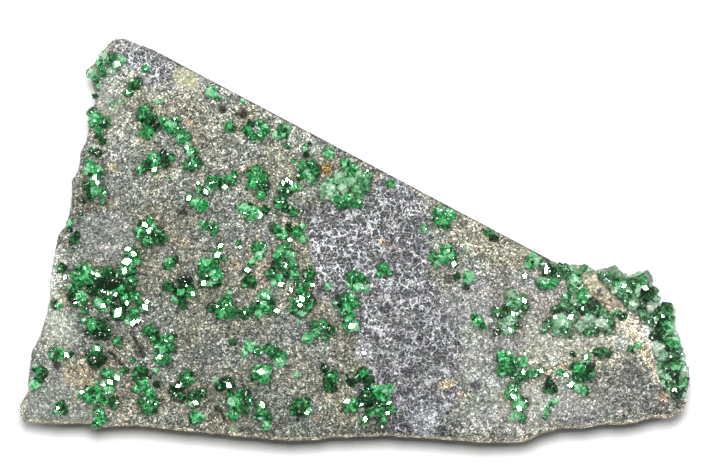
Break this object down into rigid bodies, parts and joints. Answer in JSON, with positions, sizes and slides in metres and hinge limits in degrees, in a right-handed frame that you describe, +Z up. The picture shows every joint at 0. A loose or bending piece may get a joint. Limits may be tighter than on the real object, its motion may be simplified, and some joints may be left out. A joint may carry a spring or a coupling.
{
  "type": "uvarovite garnet specimen",
  "caption": "Sawn slab of speckled chromite-bearing matrix with crusts of small flat-faced green garnet crystals, lying flat on its back.",
  "frame": {"origin": "middle of the underside of the whole box, on the surface the slab lies on", "axes": "+Z up out of the crystal face, +X along the slab towards its narrow right end, and the straight sawn edge faces up and to the right (+X +Y)"},
  "size_m": [0.0838, 0.0506, 0.0129],
  "materials": {
    "matrix": "granular, dull",
    "garnet": "vitreous, translucent, flat crystal faces"
  },
  "bodies": {
    "root": {"matrix_slab": "matrix", "garnet_tip_druse": "garnet", "garnet_left_rim_north": "garnet", "garnet_left_rim_middle": "garnet", "garnet_north_ridge": "garnet", "garnet_teal_patch": "garnet", "garnet_ring_by_saw": "garnet", "garnet_north_streak": "garnet", "garnet_north_row": "garnet", "garnet_north_knot": "garnet", "garnet_north_star": "garnet", "garnet_north_middle": "garnet", "garnet_great_north": "garnet", "garnet_west_knot": "garnet", "garnet_west_druse": "garnet", "garnet_bright_west": "garnet", "garnet_left_bright": "garnet", "garnet_west_mass": "garnet", "garnet_middle_dark": "garnet", "garnet_middle_bright": "garnet", "garnet_centre_row": "garnet", "garnet_centre_mass": "garnet", "garnet_centre_south": "garnet", "garnet_centre_east": "garnet", "garnet_south_ring": "garnet", "garnet_east_knot": "garnet", "garnet_east_drop": "garnet", "garnet_lower_left_north": "garnet", "garnet_lower_left_dark": "garnet", "garnet_lower_left_druse": "garnet", "garnet_south_west_ridge": "garnet", "garnet_south_west_chain": "garnet", "garnet_south_dark": "garnet", "garnet_south_green": "garnet", "garnet_south_bright": "garnet", "garnet_bottom_chain": "garnet", "garnet_bottom_knot": "garnet", "garnet_south_drop": "garnet", "garnet_south_mass": "garnet", "garnet_sawn_flush": "garnet", "garnet_east_bright": "garnet", "garnet_right_mass": "garnet", "garnet_right_centre": "garnet", "garnet_lower_right_mass": "garnet", "garnet_lower_right_dark": "garnet", "garnet_right_square": "garnet", "garnet_right_gem": "garnet", "garnet_right_end_crust": "garnet"}
  },
  "joints": []
}
